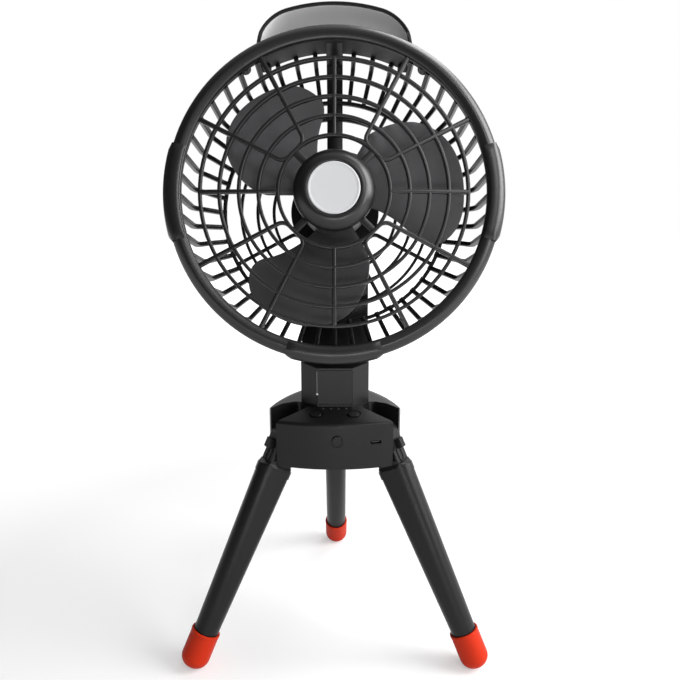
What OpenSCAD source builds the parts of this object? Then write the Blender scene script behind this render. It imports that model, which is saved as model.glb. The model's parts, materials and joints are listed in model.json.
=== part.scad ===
// Camping fan on a folding tripod.
// A tilting fan head, an upright post and a three-sided base that holds the battery,
// the controls and three folding legs. Millimetres, +Z up, the air blows towards -Y.
// The origin is on the floor, in the middle of the ground that the fan covers.

/* [Legs] */
// Length of a leg from its hinge to the middle of its round foot
leg_len = 164; // [150:1:180]
// Angle between an opened leg and the vertical
splay = 26; // [23:0.1:28]
// Width of a leg tube, and its diameter at the foot
leg_w = 18; // [16:0.2:20]
// Width of a leg's neck, inside its slot
neck_w = 15; // [14:0.2:17]
// Depth of a leg tube at its top, from its inner to its outer side
leg_depth = 24.4; // [22:0.2:26]
// Diameter of a rubber foot
foot_d = 20; // [19:0.2:23]
// Length of a rubber foot, with its round end
foot_len = 32; // [26:1:40]
// Height of the flat that is worn under each foot
foot_flat = 1.2; // [0.6:0.1:2]
// Diameter of a leg's hinge pin
leg_pin_d = 4; // [3:0.2:5]

/* [Base] */
// Distance from the centre line to each leg hinge
hinge_r = 39; // [38:0.2:41]
// Distance from the centre line to the middle of each side
base_side = 39; // [38:0.2:42]
// Radius of each bowed side
side_r = 118; // [105:1:140]
// Distance from the centre line to the rounded ends of the sides
corner_reach = 48.2; // [46:0.2:52]
// Height of the base, from its underside to its flat top
base_h = 38.5; // [36:0.5:44]
// Height of a leg hinge above the underside of the base
hinge_rise = 18.3; // [16:0.1:20]
// Thickness of the moulded walls of the base
base_wall = 2; // [1.6:0.1:2.6]
// Distance from the centre line to the inner end of a leg slot
slot_end_r = 25; // [24.5:0.1:26]
// Angle by which the control panel slopes down to the front
panel_slope = 20; // [12:0.1:22]
// Height of the control panel's front edge below the flat top
panel_drop = 6.6; // [4:0.1:7]
// Angle by which the top slopes down to the two rear sides
rear_slope = 16; // [12:0.5:18]
// Height of the top's rear edges below its flat middle
rear_drop = 2.6; // [1:0.1:2.6]
// Radius of the rounded top edges
edge_fillet = 2.6; // [1.5:0.1:3.5]
// Height of the tray that closes the base from below
tray_h = 3; // [2.4:0.1:4]

/* [Controls] */
// Length of an oval panel button
button_l = 7.6; // [6:0.1:9]
// Width of an oval panel button
button_w = 5.4; // [4.5:0.1:6.5]
// Distance between the two panel buttons
button_pitch = 25.8; // [22:0.2:30]
// Diameter of the round button on the front wall
power_d = 6.4; // [5:0.1:8]
// Travel of a button
button_travel = 0.8; // [0.5:0.1:1]
// Number of indicator lights
lights = 4; // [3:1:5]
// Diameter of an indicator light
light_d = 1.6; // [1.2:0.1:2]
// Width of the charging socket
usb_w = 8.9; // [7.5:0.1:9.2]
// Height of the charging socket
usb_h = 3.2; // [2.6:0.1:3.6]

/* [Post] */
// Width of the post
post_w = 45.6; // [43:0.2:48]
// Distance from the centre line to the post's front face
post_front = 20; // [19:0.2:20.6]
// Distance from the centre line to the post's back face
post_back = 20; // [19:0.2:21]
// Size of the post's bevelled corners
post_bevel = 11.2; // [9:0.2:12]
// Height of the straight part of the post
post_straight = 27.5; // [22:0.5:28]
// Thickness of the post's walls
post_wall = 2.2; // [1.8:0.1:2.8]
// Height of the tilt hinge above the base
pivot_rise = 94.5; // [92:0.5:100]
// Distance of the tilt hinge behind the centre line
pivot_back = 20.8; // [20:0.1:23]
// Radius of the tilt hinge's knuckles
knuckle_r = 9; // [8:0.1:9.6]
// Diameter of the tilt hinge's pin
tilt_pin_d = 6; // [5:0.2:7]

/* [Head] */
// Angle by which the head leans back from upright
tilt = 11.6; // [6:0.1:16]
// Outer radius of the front ring
ring_r = 102.5; // [98:0.5:106]
// Width of the front ring's face
ring_w = 8.8; // [7:0.1:10]
// Depth of the front ring
ring_depth = 9; // [8:0.2:10]
// Depth of the slatted side wall, behind the ring's face
side_depth = 47; // [44:0.5:49]
// Depth of the rear guard's flat face, behind the ring's face
rear_depth = 64; // [62:0.2:65]
// Radius of the rear guard's flat face
rear_r = 78; // [70:0.5:84]
// Thickness of the slats and guard ribs, through the wall
guard_t = 3.4; // [2.6:0.1:4]
// Number of slats in the side wall
slats = 48; // [36:4:56]
// Width of a slat
slat_w = 2.1; // [1.6:0.1:2.6]
// Distance of the tilt hinge behind the ring's face
pivot_depth = 74.8; // [74.4:0.1:78]
// Distance of the tilt hinge below the head's centre
pivot_drop = 36; // [34:0.5:42]

/* [Front grille] */
// Width of a grille rib
rib_w = 1.8; // [1.4:0.1:2.4]
// Depth of a grille rib
rib_t = 3; // [2.4:0.1:3.6]
// Radius of the grille's smallest circle
first_circle_r = 34.1; // [32:0.1:36]
// Step from one grille circle to the next
circle_step = 11.98; // [11:0.05:12.2]
// Height by which the grille bulges forward
bulge = 4; // [2:0.1:5]
// Radius of the domed hub cover
dome_r = 24.8; // [22:0.1:26]
// Height of the domed hub cover
dome_h = 7.4; // [5:0.1:9]
// Radius of the plain badge disc
badge_r = 16.6; // [14:0.1:18]

/* [Rotor] */
// Number of blades
blades = 3; // [3:1:3]
// Radius of the blade tips
blade_r = 85; // [80:0.5:88]
// Depth swept by the blades, along the shaft
blade_depth = 30; // [24:0.5:31]
// Thickness of a blade, along the shaft
blade_t = 2.1; // [1.6:0.1:2.6]
// Radius of the rotor's hub
hub_r = 22; // [20:0.2:24]
// Diameter of the motor
motor_d = 34; // [28:0.5:36]
// Diameter of the motor shaft
shaft_d = 4; // [3:0.2:5]

/* [Handle] */
// Height of the handle's top above the front ring
handle_rise = 19.9; // [18:0.1:24]
// Width of the handle strap, from front to back
strap_w = 27; // [22:0.5:27.5]
// Thickness of the handle strap
strap_t = 2.4; // [2:0.1:3]

/* [Clearances] */
// Radial clearance of a running pin or shaft
run_gap = 0.05; // [0.02:0.01:0.09]
// Gap between surfaces that slide past each other
slide_gap = 0.3; // [0.2:0.05:0.4]

/* [Hidden] */
$fn = 96;

black = "#2b2b2c";
charcoal = "#48494a";
orange = "#f2472b";
steel = "#b9bcc0";

// heights of the stand
foot_r = foot_d / 2;
hinge_z = leg_len * cos(splay) + foot_r - foot_flat;
base_z = hinge_z - hinge_rise;
deck_z = base_z + base_h;
pivot_z = deck_z + pivot_rise;

// depths and radii of the head, from the centre of the ring's face
wall_r = ring_r - 3.2;
flange_t = 2;
flange_end = ring_depth + flange_t;
clip_t = 2;
clip_lip = 1.2;
clip_half = 17;
clip_r = ring_r + clip_t;

// the ground that the fan covers, from its lowest clip to its rear foot
rear_reach = hinge_r + leg_len * sin(splay) + foot_r;
front_reach = (pivot_depth + clip_lip) * cos(tilt) + (clip_r - pivot_drop) * sin(tilt) - pivot_back;
stand_y = (front_reach - rear_reach) / 2;

// legs
leg_turns = [210, 330, 90];
slot_w = neck_w + 2 * slide_gap;
slot_corner = 5;
tube_top = 24;
collar_h = 5.4;
heel_r = 8.6;
lug_z = 9.2;
pin_seat = 3;

// battery
cell_d = 18;
cell_l = 62;

// post
shelf_rise = 30;
neck_rise = 53.5;
neck_front = pivot_back - 8.5;
neck_back = pivot_back + knuckle_r + 0.4;
cell_back = neck_front - 4.4;
ear_drop = 12;
ear_w = 8.4;
pin_cap_t = 1.6;
pin_cap_r = 6.5;
tongue_w = post_w - 2 * ear_w - 2 * slide_gap;

// head
grille_seat = 2;
circles = 5;
diagonal_half = 18;
u_inner_r = first_circle_r + rib_w / 2;
hub_front = 8;
blade_end = hub_front + blade_depth;
motor_front = 22;
motor_back = rear_depth - guard_t;
motor_plate_r = 31;
cover_r = 22;
cover_back = 80;
panel_half = 28;
shoulder_turn = 35.5;
spine_w = 11;

// handle
handle_top = ring_r + handle_rise;
handle_pivot = [25.4, wall_r - 8];
handle_x = wall_r * 0.48;
lug_w = 6.2;
lug_x = handle_x - slide_gap - lug_w;
lug_r = 3.6;
handle_pin_r = 1.5;
arm_half = 4.6;
top_panel_end = handle_pivot[0] + lug_r - 0.4;

// ---------- places ----------

module on_stand() translate([0, stand_y, 0]) children();

module at_leg(turn)
    on_stand() rotate([0, 0, turn]) translate([hinge_r, 0, hinge_z]) rotate([0, -splay, 0])
        children();

module on_head()
    on_stand() translate([0, pivot_back, pivot_z]) rotate([-tilt, 0, 0])
        translate([0, -pivot_depth, pivot_drop]) children();

// a (radius, depth) profile turned about the head's axis
module spun() rotate([-90, 0, 0]) rotate_extrude() children();

// the same between two angles, counterclockwise from three o'clock as seen from the front
module spun_arc(from, to)
    rotate([-90, 0, 0]) rotate([0, 0, -to]) rotate_extrude(angle = to - from) children();

// a front view drawing given a depth
module plate(near, far)
    translate([0, far, 0]) rotate([90, 0, 0]) linear_extrude(far - near) children();

// a side view drawing given a width about the middle
module across(width) rotate([90, 0, 90]) translate([0, 0, -width / 2]) linear_extrude(width) children();

// a rod along X, centred on x
module rod(radius, length) rotate([0, 90, 0]) cylinder(r = radius, h = length, center = true);

// ---------- base ----------

// outline of one bowed side turned about its own centre: wall, rounded edge and sloping top
function side_profile(inset, drop, slope) =
    let (r = side_r - inset,
         f = max(edge_fillet - inset, 0.4),
         turn = 90 - slope,
         top = deck_z - drop - inset,
         bend_z = top + tan(slope) * f * (1 - cos(turn)) - f * sin(turn))
    concat([[0, base_z - 1], [r, base_z - 1]],
           [for (i = [0:5]) [r - f + f * cos(turn * i / 5), bend_z + f * sin(turn * i / 5)]],
           [[0, top + tan(slope) * r]]);

module bowed_side(turn, inset, drop, slope)
    rotate([0, 0, turn]) translate([base_side - side_r, 0, 0])
        rotate_extrude($fn = 240) polygon(side_profile(inset, drop, slope));

// the rounded three-sided block: its top slopes down to each side from the flat under the post
module base_block(inset)
    intersection() {
        bowed_side(-90, inset, panel_drop, panel_slope);
        bowed_side(30, inset, rear_drop, rear_slope);
        bowed_side(150, inset, rear_drop, rear_slope);
        translate([0, 0, base_z - 1]) linear_extrude(base_h + 1 - inset) {
            circle(r = corner_reach - inset);
            translate([-2 * base_side, -2 * base_side]) square([4 * base_side, base_side * 1.3]);
        }
    }

module slab_between(low, high) translate([-100, -100, low]) cube([200, 200, high - low]);

module leg_slot_outline(grow)
    for (turn = leg_turns) rotate(turn) {
        translate([slot_end_r + slot_corner, -slot_w / 2 - grow]) square([60, slot_w + 2 * grow]);
        translate([slot_end_r - grow, -slot_w / 2 + slot_corner])
            square([slot_corner + grow + 1, slot_w - 2 * slot_corner]);
        for (s = [-1, 1]) translate([slot_end_r + slot_corner, s * (slot_w / 2 - slot_corner)])
            circle(r = slot_corner + grow);
    }

module leg_slots(grow)
    translate([0, 0, base_z - 2]) linear_extrude(base_h + 4) leg_slot_outline(grow);

module leg_pin_holes()
    for (turn = leg_turns) rotate([0, 0, turn]) translate([hinge_r, 0, hinge_z])
        rotate([90, 0, 0]) cylinder(d = leg_pin_d, h = slot_w + 2 * base_wall - 0.8, center = true);

// a place on the sloping panel, at a distance behind the middle of its front edge
module on_panel(x, back)
    translate([0, side_r - base_side, deck_z - panel_drop]) rotate([0, 0, asin(x / (side_r - back))])
        translate([0, -side_r, 0]) rotate([panel_slope, 0, 0])
            translate([0, back / cos(panel_slope), 0]) children();

button_back = 10.6;
light_back = 16.4;
light_pitch = 5.3;
power_x = 1.5;
power_z = base_z + 20.5;
usb_x = 28;
usb_z = base_z + 18.5;
usb_turn = asin(usb_x / side_r);
well = 0.5;
board_t = 1.6;
button_flange = 1.2;
switch_h = 2.2;
panel_wall = base_wall * (1 + tan(panel_slope)) * cos(panel_slope);
board_drop = panel_wall + 0.2 + button_flange + button_travel + 0.1 + switch_h;

module oval(length, width)
    hull() for (s = [-1, 1]) translate([s * (length - width) / 2, 0]) circle(d = width, $fn = 32);

module panel_openings() {
    for (s = [-1, 1]) on_panel(s * button_pitch / 2, button_back) {
        translate([0, 0, -5]) linear_extrude(10) oval(button_l + 2 * slide_gap, button_w + 2 * slide_gap);
        translate([0, 0, -well]) linear_extrude(5) oval(button_l + 3, button_w + 3);
    }
    for (i = [0:lights - 1]) on_panel((i - (lights - 1) / 2) * light_pitch, light_back)
        translate([0, 0, -5]) cylinder(d = light_d, h = 10);
    translate([power_x, -base_side, power_z]) rotate([90, 0, 0]) {
        cylinder(d = power_d + 2 * slide_gap, h = 12, center = true);
        translate([0, 0, -well]) cylinder(d = power_d + 3, h = 5);
    }
    at_usb() translate([0, 0, -5]) linear_extrude(10) oval(usb_w, usb_h);
}

// the charging socket's mouth, square to the bowed front wall
module at_usb()
    translate([0, side_r - base_side, usb_z]) rotate([0, 0, usb_turn]) translate([0, -side_r, 0])
        rotate([90, 0, 0]) children();

boss_r = 3;
boss_h = 12;
boss_ring = base_side - 8;
screw_r = 1.25;

// a place for each base screw, behind the middle of each side
module at_screws()
    for (turn = [-90, 30, 150]) rotate([0, 0, turn]) translate([boss_ring, 0, base_z]) children();

module base_shell()
    color(black) on_stand() difference() {
        union() {
            difference() {
                base_block(0);
                difference() {
                    base_block(base_wall);
                    leg_slots(base_wall);
                }
                slab_between(base_z - 2, base_z + tray_h);
            }
            at_screws() translate([0, 0, tray_h]) {
                cylinder(r = boss_r, h = boss_h);
                translate([0, -0.8, 0]) cube([base_side - boss_ring - 1, 1.6, boss_h]);
            }
        }
        leg_slots(0);
        leg_pin_holes();
        panel_openings();
        translate([0, cell_back, deck_z - base_wall - 1]) linear_extrude(base_wall + 2)
            square([2 * cell_d + 1.4, cell_d + 1], center = true);
        at_screws() cylinder(r = screw_r, h = tray_h + boss_h - 2);
    }

module base_tray()
    color(black) on_stand() difference() {
        union() {
            intersection() {
                base_block(0);
                slab_between(base_z, base_z + tray_h);
            }
            intersection() {
                base_block(base_wall + slide_gap);
                slab_between(base_z, base_z + tray_h + 2);
                difference() {
                    slab_between(base_z, base_z + tray_h + 2);
                    leg_slots(base_wall + slide_gap);
                }
            }
        }
        intersection() {
            base_block(base_wall * 2 + slide_gap);
            slab_between(base_z + tray_h - 1, base_z + tray_h + 3);
            difference() {
                slab_between(base_z, base_z + tray_h + 3);
                leg_slots(base_wall * 2 + slide_gap);
                at_screws() cylinder(r = boss_r + 2, h = tray_h + 4);
            }
        }
        leg_slots(0);
        at_screws() {
            translate([0, 0, -1]) cylinder(r = screw_r + 0.2, h = tray_h + 4);
            translate([0, 0, -1]) cylinder(r = 2.6, h = 2.6);
            translate([0, 0, tray_h]) cylinder(r = boss_r + slide_gap, h = 4);
            translate([0, -1.1, tray_h]) cube([base_side - boss_ring, 2.2, 4]);
        }
    }

module leg_pins()
    color(steel) on_stand() for (turn = leg_turns) rotate([0, 0, turn]) translate([hinge_r, 0, hinge_z])
        rotate([90, 0, 0]) cylinder(d = leg_pin_d, h = slot_w + 2 * base_wall - 0.8, center = true);

module base_screws()
    color(steel) on_stand() at_screws() {
        translate([0, 0, 0.4]) cylinder(r = 2.4, h = 1.2);
        translate([0, 0, 1.5]) cylinder(r = screw_r, h = tray_h + 6);
    }

board_l = 46;
board_w = 13;

module panel_board()
    color("#1f5a3a") on_stand() difference() {
        union() {
            on_panel(0, (button_back + light_back) / 2) translate([0, 0, -board_drop - board_t])
                linear_extrude(board_t) square([board_l, board_w], center = true);
            for (s = [-1, 1]) on_panel(s * button_pitch / 2, button_back) translate([0, 0, -board_drop])
                translate([-2.2, -2.2, 0]) cube([4.4, 4.4, switch_h]);
        }
        leg_slots(base_wall + slide_gap);
    }

module indicator_lights()
    color("#dfe3ea") on_stand()
        for (i = [0:lights - 1]) on_panel((i - (lights - 1) / 2) * light_pitch, light_back)
            translate([0, 0, 0.3 - board_drop]) cylinder(d = light_d - 0.1, h = board_drop - 0.1);

// an oval key: its top stands proud, its flange stays under the panel
module panel_button(side)
    color(charcoal) on_stand() on_panel(side * button_pitch / 2, button_back) {
        translate([0, 0, -panel_wall - 0.2]) linear_extrude(panel_wall + 0.8) oval(button_l, button_w);
        translate([0, 0, -panel_wall - 0.2 - button_flange]) linear_extrude(button_flange)
            oval(button_l + 2, button_w + 2);
    }

module left_button() panel_button(-1);
module right_button() panel_button(1);

module power_button()
    color(charcoal) on_stand() translate([power_x, -base_side, power_z]) rotate([90, 0, 0]) {
        translate([0, 0, -base_wall - 0.3]) cylinder(d = power_d, h = base_wall + 0.8);
        translate([0, 0, -base_wall - 0.3 - button_flange]) cylinder(d = power_d + 2, h = button_flange);
    }

power_board_back = base_wall + 0.3 + button_flange + button_travel + 0.1 + switch_h;

module power_board()
    color("#1f5a3a") on_stand() difference() {
        union() {
            translate([-8, -base_side + power_board_back, base_z + tray_h + boss_h + 0.5])
                cube([38, board_t, 10]);
            translate([power_x - 2.2, -base_side + power_board_back - switch_h, power_z - 2.2])
                cube([4.4, switch_h, 4.4]);
        }
        leg_slots(base_wall + slide_gap);
        at_usb() translate([0, 0, -14]) linear_extrude(20) square([usb_w, usb_h], center = true);
    }

usb_deep = 4.7;

// a metal shell round a tongue, open to the front
module usb_socket()
    color(steel) on_stand() at_usb() {
        translate([0, 0, -usb_deep]) difference() {
            linear_extrude(usb_deep - 0.4) oval(usb_w - 0.1, usb_h - 0.1);
            translate([0, 0, 0.6]) linear_extrude(usb_deep) oval(usb_w - 0.7, usb_h - 0.7);
        }
        translate([0, 0, -usb_deep + 0.3]) linear_extrude(usb_deep - 1.6) square([usb_w - 3.4, 0.7], center = true);
    }

module battery_cells()
    color("#3f7f5c") on_stand() for (s = [-1, 1])
        translate([s * (cell_d / 2 + 0.2), cell_back, base_z + tray_h + 0.2]) {
            cylinder(d = cell_d, h = cell_l);
            cylinder(d = 5.6, h = cell_l + 1);
        }

// ---------- post ----------

// side view of the post, from its front face round over the neck to its back face
post_side = [[-post_front, 0], [-post_front, post_straight], [-3, shelf_rise],
    [neck_front, neck_rise], [neck_front, pivot_rise - ear_drop], [neck_back, pivot_rise - ear_drop],
    [neck_back, neck_rise], [post_back + 2, shelf_rise], [post_back, post_straight], [post_back, 0]];

// plan of the post, with bevelled front corners
module post_plan(inset) {
    w = post_w / 2 - inset;
    near = inset - post_front;
    far = neck_back - inset;
    bevel = post_bevel - inset * 0.6;
    polygon([[bevel - w, near], [w - bevel, near], [w, near + bevel], [w, far - 3], [w - 3, far],
             [3 - w, far], [-w, far - 3], [-w, near + bevel]]);
}

module post_form(inset)
    intersection() {
        translate([0, 0, deck_z]) across(post_w + 2) offset(delta = -inset) polygon(post_side);
        translate([0, 0, deck_z - 1]) linear_extrude(pivot_rise) post_plan(inset);
    }

cover_w = post_w - 2 * post_bevel;
cover_gap = 0.1;

module cover_window(grow)
    translate([-cover_w / 2 - grow, -post_front - 1, deck_z + 1.5 - grow])
        cube([cover_w + 2 * grow, post_wall + 2, post_straight - 3 + 2 * grow]);

module post_housing()
    color(black) on_stand() difference() {
        union() {
            difference() {
                post_form(0);
                post_form(post_wall);
                translate([0, cell_back, deck_z - 1]) linear_extrude(post_wall + 2)
                    square([2 * cell_d + 1.4, cell_d + 1], center = true);
                cover_window(cover_gap);
            }
            for (s = [-1, 1]) translate([s * (post_w - ear_w) / 2, 0, 0]) {
                translate([0, pivot_back, pivot_z]) rod(knuckle_r, ear_w);
                translate([-ear_w / 2, neck_front, pivot_z - ear_drop])
                    cube([ear_w, neck_back - neck_front, ear_drop - knuckle_r + 3]);
                translate([-ear_w / 2, pivot_back - knuckle_r + 0.9, pivot_z - knuckle_r])
                    cube([ear_w, 2 * knuckle_r - 1.8, knuckle_r]);
            }
        }
        translate([0, pivot_back, pivot_z]) rod(tilt_pin_d / 2, post_w + 2);
        for (s = [-1, 1]) translate([s * (post_w / 2), pivot_back, pivot_z]) rod(pin_cap_r + 0.1, 1.6);
    }

module post_cover()
    color(black) on_stand() intersection() {
        cover_window(0);
        post_form(0);
    }

module tilt_pin()
    color(steel) on_stand() translate([0, pivot_back, pivot_z]) rod(tilt_pin_d / 2, post_w - 1.6);

module tilt_caps()
    color(charcoal) on_stand() for (s = [-1, 1])
        translate([s * (post_w / 2 - 0.8 + pin_cap_t / 2), pivot_back, pivot_z]) rod(pin_cap_r, pin_cap_t);

// ---------- legs ----------

// cut across a leg tube: round outside, flatter on its inner side
module leg_cut(depth, width)
    hull() {
        translate([depth / 2 - width / 2, 0]) circle(d = width, $fn = 40);
        for (s = [-1, 1]) translate([-depth / 2 + 5, s * (width / 2 - 5)]) circle(r = 5, $fn = 32);
    }

// the tube tapers from its collar to the round foot
module leg_tube()
    hull() {
        translate([0, 0, -tube_top - collar_h]) linear_extrude(0.5) leg_cut(leg_depth - 0.8, leg_w - 0.8);
        translate([0, 0, -leg_len + foot_len - foot_r]) cylinder(d = leg_w - 0.6, h = 1, $fn = 40);
    }

module leg_collar()
    translate([0, 0, -tube_top - collar_h + 0.2]) linear_extrude(collar_h - 0.2) leg_cut(leg_depth, leg_w);

// the neck narrows from the collar up to the hinge knuckle
module leg_neck() {
    rotate([90, 0, 0]) cylinder(r = heel_r, h = neck_w, center = true);
    hull() {
        translate([0, 0, -tube_top - 0.7]) linear_extrude(1) leg_cut(leg_depth - 0.8, leg_w - 0.8);
        translate([-1, 0, -tube_top + 2]) linear_extrude(0.5) square([leg_depth - 7, neck_w], center = true);
    }
    translate([-1, 0, -tube_top + 2]) linear_extrude(tube_top / 2)
        square([leg_depth - 8, neck_w - 0.02], center = true);
    translate([0.2 - heel_r, -neck_w / 2 + 0.02, -tube_top / 2])
        cube([2 * heel_r - 0.4, neck_w - 0.04, tube_top / 2]);
}

heel_reach = hinge_r - slot_end_r - 0.02;

// the heel meets the end of the slot when the leg is open
module leg_heel()
    rotate([0, splay, 0]) translate([-heel_reach, -neck_w / 2 + slot_corner, 1])
        cube([heel_reach, neck_w - 2 * slot_corner, 7]);

// the latch lug on the outer side of the neck
module leg_lug()
    translate([heel_r - 1.5, -2.6, -lug_z - 3.2]) cube([5.2, 5.2, 6.6]);

module leg()
    color(black) difference() {
        union() {
            leg_tube();
            leg_collar();
            leg_neck();
            leg_heel();
            leg_lug();
            translate([0, 0, -leg_len]) cylinder(d = foot_d - 6, h = foot_len);
        }
        rotate([90, 0, 0]) cylinder(d = leg_pin_d + 2 * run_gap, h = 40, center = true);
        for (s = [-1, 1]) translate([5.2, s * (neck_w / 2 - 0.4), -15.4]) rotate([90, 0, 0])
            linear_extrude(1.6, center = true) rotate(90) oval(8, 2.8);
    }

module foot()
    color(orange) difference() {
        union() {
            translate([0, 0, -leg_len]) sphere(d = foot_d);
            translate([0, 0, -leg_len]) cylinder(d = foot_d, h = foot_len - foot_r);
        }
        translate([0, 0, -leg_len - 0.1]) cylinder(d = foot_d - 5.9, h = foot_len);
        rotate([0, splay, 0]) translate([-200, -200, -hinge_z - 50]) cube([400, 400, 50]);
    }

module leg_left() at_leg(leg_turns[0]) leg();
module leg_right() at_leg(leg_turns[1]) leg();
module leg_rear() at_leg(leg_turns[2]) leg();
module foot_left() at_leg(leg_turns[0]) foot();
module foot_right() at_leg(leg_turns[1]) foot();
module foot_rear() at_leg(leg_turns[2]) foot();

// ---------- head ----------

// depth of the grille's front surface at a radius: it bulges to the front
function grille_front(r) = grille_seat - bulge * (1 - pow(r / (ring_r - ring_w), 2));

grille_steps = [for (i = [0:7]) 12 + i * (ring_r - ring_w - 12) / 7];

module grille_skin()
    spun() polygon(concat(
        [[0, grille_front(12)]],
        [for (r = grille_steps) [r, grille_front(r)]],
        [for (i = [7:-1:0]) [grille_steps[i], grille_front(grille_steps[i]) + rib_t]],
        [[0, grille_front(12) + rib_t]]));

module circle_rib(r, w)
    difference() {
        circle(r = r + w / 2);
        circle(r = r - w / 2);
    }

// two diagonal spokes joined by a rounded bend near the hub
module diagonal_loop() {
    reach = ring_r - ring_w + 1;
    half_in = u_inner_r * tan(diagonal_half - 2.4);
    half_out = reach * sin(diagonal_half) + 1.2;
    module wedge(shrink)
        offset(r = 7 - shrink, $fn = 40) offset(delta = -7)
            polygon([[u_inner_r - rib_w, -half_in], [reach + 12, -half_out - 2.6],
                     [reach + 12, half_out + 2.6], [u_inner_r - rib_w, half_in]]);
    intersection() {
        difference() {
            wedge(0);
            wedge(rib_w);
        }
        circle(r = reach);
    }
}

module grille_pattern() {
    last = first_circle_r + (circles - 1) * circle_step;
    for (i = [0:circles - 1]) circle_rib(first_circle_r + i * circle_step, rib_w);
    for (q = [0:3]) rotate(90 * q) {
        translate([first_circle_r, -rib_w / 2]) square([last - first_circle_r, rib_w]);
        rotate(45) {
            diagonal_loop();
            translate([dome_r - 3, -2.2]) square([first_circle_r - dome_r + 3, 4.4]);
        }
    }
    difference() {
        circle(r = dome_r - 1);
        circle(r = dome_r - 4);
    }
}

module ring_profile() {
    inner = ring_r - ring_w;
    polygon([[inner, 2.2], [inner + 0.8, 0.7], [inner + 2.4, 0], [ring_r - 2.2, 0], [ring_r - 0.7, 0.6],
             [ring_r, 2], [ring_r, ring_depth], [wall_r + slide_gap, ring_depth], [wall_r + slide_gap, 3],
             [inner + 2, 3], [inner + 2, 5], [inner, 5]]);
}

module front_grille()
    color(black) on_head() {
        spun() ring_profile();
        intersection() {
            plate(-bulge, 8) grille_pattern();
            grille_skin();
        }
    }

module hub_dome()
    color(black) on_head() {
        seat = grille_front(12);
        spun() polygon(concat([[0, seat], [dome_r, seat], [dome_r, seat - 1.6]],
            [for (i = [0:6]) [badge_r + 0.8 + (dome_r - badge_r - 0.8) * cos(15 * i),
                              seat - 1.6 - (dome_h - 1.6) * sin(15 * i)]],
            [[badge_r + 0.1, seat - dome_h + 0.8], [0, seat - dome_h + 0.8]]));
    }

module badge_disc()
    color("white") on_head() {
        seat = grille_front(12) - dome_h + 0.8;
        spun() polygon([[0, seat], [badge_r, seat], [badge_r, seat - 0.7], [badge_r - 0.4, seat - 1], [0, seat - 1]]);
    }

// a snap clip hooks the ring's face and the flange behind it
module clip(turn)
    color(black) on_head() spun_arc(turn - clip_half, turn + clip_half)
        polygon([[ring_r - 4, -clip_lip], [clip_r - 0.8, -clip_lip], [clip_r, -clip_lip + 0.8],
                 [clip_r, flange_end + clip_lip], [ring_r - 2, flange_end + clip_lip],
                 [ring_r - 2, flange_end], [ring_r, flange_end], [ring_r, 2], [ring_r - 0.7, 0.6],
                 [ring_r - 2.2, 0], [ring_r - 4, 0]]);

module left_clip() clip(180);
module right_clip() clip(0);
module lower_clip() clip(270);

curved_ribs = slats / 2;
rib_bow_r = 60;
slat_r = wall_r - 0.4;
cover_screw_r = 26.5;

// one slat: along the side wall, round the corner and over the bevel to the flat back
module guard_slat()
    translate([0, 0, -slat_w / 2]) linear_extrude(slat_w) polygon([[slat_r, flange_end - 1],
        [slat_r, side_depth - 1], [slat_r - 1.6, side_depth + 1.2], [rear_r, rear_depth - 0.4],
        [rear_r - 0.6, rear_depth - guard_t + 0.4], [slat_r - guard_t + 0.8, side_depth - 2],
        [slat_r - guard_t + 0.8, flange_end - 1]]);

module bowed_rib()
    intersection() {
        translate([(rear_r + motor_plate_r) / 2 - 12, -rib_bow_r + 9]) circle_rib(rib_bow_r, slat_w * 0.85);
        circle_rib((rear_r + motor_plate_r) / 2, rear_r - motor_plate_r + 1);
        translate([motor_plate_r - 12, -24]) square([rear_r, 44]);
    }

module guard_back() {
    for (i = [0:curved_ribs - 1]) rotate(i * 360 / curved_ribs) bowed_rib();
    circle_rib(rear_r, 2.4);
    circle_rib((rear_r * 2 + motor_plate_r) / 3, 2);
    circle_rib((rear_r + motor_plate_r * 2) / 3, 2);
    circle(r = motor_plate_r);
}

// a hoop of the guard, between two depths
module hoop(near, far, inner, outer)
    spun() polygon([[inner, near], [outer, near], [outer, far], [inner, far]]);

module rear_guard()
    color(black) on_head() difference() {
        union() {
            for (i = [0:slats - 1]) rotate([0, (i + 0.5) * 360 / slats, 0]) guard_slat();
            plate(rear_depth - guard_t, rear_depth) guard_back();
            hoop(ring_depth - 4, flange_end + 1.5, wall_r - guard_t, wall_r);
            hoop(ring_depth, flange_end, wall_r - 1, ring_r);
            hoop(side_depth - 2.5, side_depth + 0.5, wall_r - guard_t, wall_r);
            spun_arc(90 - panel_half, 90 + panel_half) polygon([[wall_r - 2.4, flange_end],
                [wall_r - 0.2, flange_end], [wall_r - 0.2, top_panel_end], [wall_r - 2.4, top_panel_end]]);
            translate([-spine_w / 2, 0, 0]) rotate([90, 0, 90]) linear_extrude(spine_w)
                polygon([[flange_end, wall_r - 2.6], [flange_end, wall_r - 0.6],
                         [side_depth - 0.5, wall_r - 0.6], [rear_depth - 0.2, rear_r],
                         [rear_depth - 0.2, motor_plate_r - 2], [rear_depth - 2.4, motor_plate_r - 2],
                         [rear_depth - 2.4, rear_r - 2], [side_depth - 2, wall_r - 2.6]]);
            handle_lugs();
            shoulder_bosses();
            hoop(motor_back - 8, motor_back + 1, motor_d / 2 + 0.1, motor_d / 2 + 2.4);
        }
        for (s = [-1, 1]) translate([s * (lug_x + lug_w / 2), handle_pivot[0], handle_pivot[1]])
            rod(handle_pin_r, lug_w + 12);
        for (a = [45:90:315]) rotate([0, a, 0]) translate([cover_screw_r, rear_depth, 0])
            rotate([90, 0, 0]) cylinder(r = screw_r, h = 20, center = true);
    }

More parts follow.
